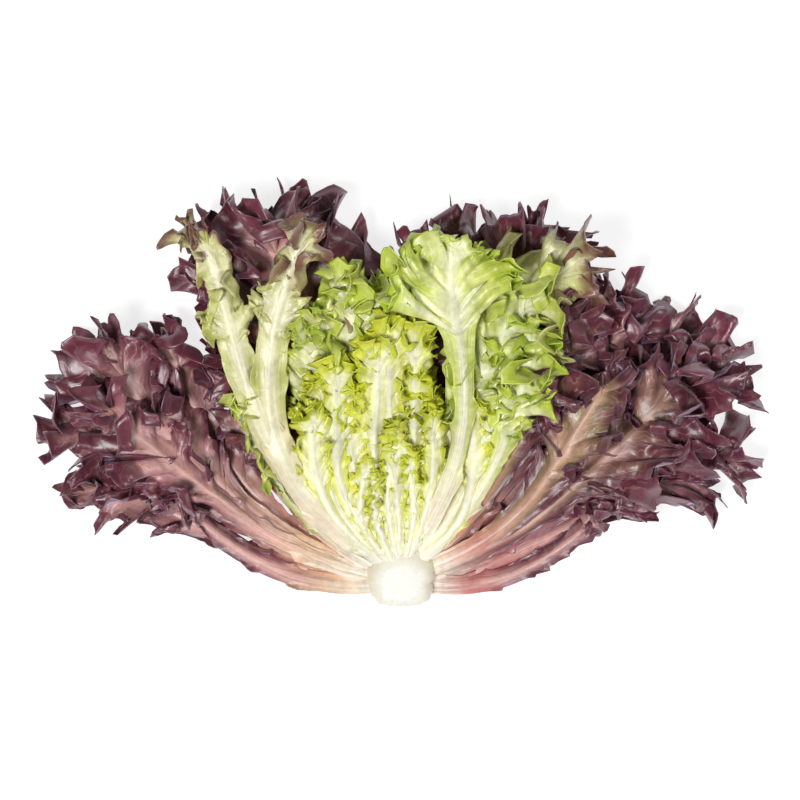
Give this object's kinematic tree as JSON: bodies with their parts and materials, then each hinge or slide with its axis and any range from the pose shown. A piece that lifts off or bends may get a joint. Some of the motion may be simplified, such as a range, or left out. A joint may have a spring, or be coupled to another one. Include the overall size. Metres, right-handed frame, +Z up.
{
  "type": "half head of lettuce",
  "caption": "Half a head of frilled red-leaf lettuce, cut lengthwise and lying cut side up, its leaves fanned out from the white core.",
  "frame": {"origin": "on the table, under the middle of the head's box", "axes": "+Z up out of the cut face, +Y from the core towards the leaf tips, +X to the right when looking down with the core nearest"},
  "size_m": [0.3124, 0.1818, 0.0603],
  "materials": {
    "red_leaf": "satin, dark wine red with paler ribs",
    "bronze_leaf": "satin, green with a red-brown flush",
    "green_leaf": "satin, light green with red tips",
    "pale_leaf": "satin, pale green",
    "heart_leaf": "satin, yellow-green",
    "core": "moist, cream white"
  },
  "bodies": {
    "root": {"back_leaf_1": "red_leaf", "back_leaf_2": "red_leaf", "back_leaf_3": "red_leaf", "back_leaf_4": "red_leaf", "back_leaf_5": "red_leaf", "back_leaf_6": "red_leaf", "back_leaf_7": "red_leaf", "back_leaf_8": "red_leaf", "back_leaf_9": "red_leaf", "bronze_leaf_1": "red_leaf", "bronze_leaf_2": "red_leaf", "bronze_leaf_3": "red_leaf", "bronze_leaf_4": "green_leaf", "bronze_leaf_5": "bronze_leaf", "bronze_leaf_6": "bronze_leaf", "core": "core", "green_leaf_1": "pale_leaf", "green_leaf_2": "pale_leaf", "green_leaf_3": "pale_leaf", "green_leaf_4": "pale_leaf", "heart_bud_1": "heart_leaf", "heart_bud_2": "heart_leaf", "heart_leaf_1": "heart_leaf", "heart_leaf_2": "heart_leaf", "heart_leaf_3": "heart_leaf", "outer_leaf_1": "red_leaf", "outer_leaf_2": "red_leaf", "outer_leaf_3": "red_leaf", "outer_leaf_4": "red_leaf", "outer_leaf_5": "red_leaf", "outer_leaf_6": "red_leaf", "outer_leaf_7": "red_leaf", "outer_leaf_8": "red_leaf", "rib_leaf_1": "green_leaf", "rib_leaf_2": "green_leaf", "rib_leaf_3": "pale_leaf", "rib_leaf_4": "bronze_leaf", "rib_leaf_5": "bronze_leaf", "side_leaf_1": "red_leaf", "side_leaf_2": "red_leaf", "side_leaf_3": "red_leaf", "side_leaf_4": "red_leaf", "side_leaf_5": "red_leaf", "side_leaf_6": "red_leaf", "side_leaf_7": "red_leaf", "side_leaf_8": "red_leaf", "side_leaf_9": "red_leaf"}
  },
  "joints": []
}
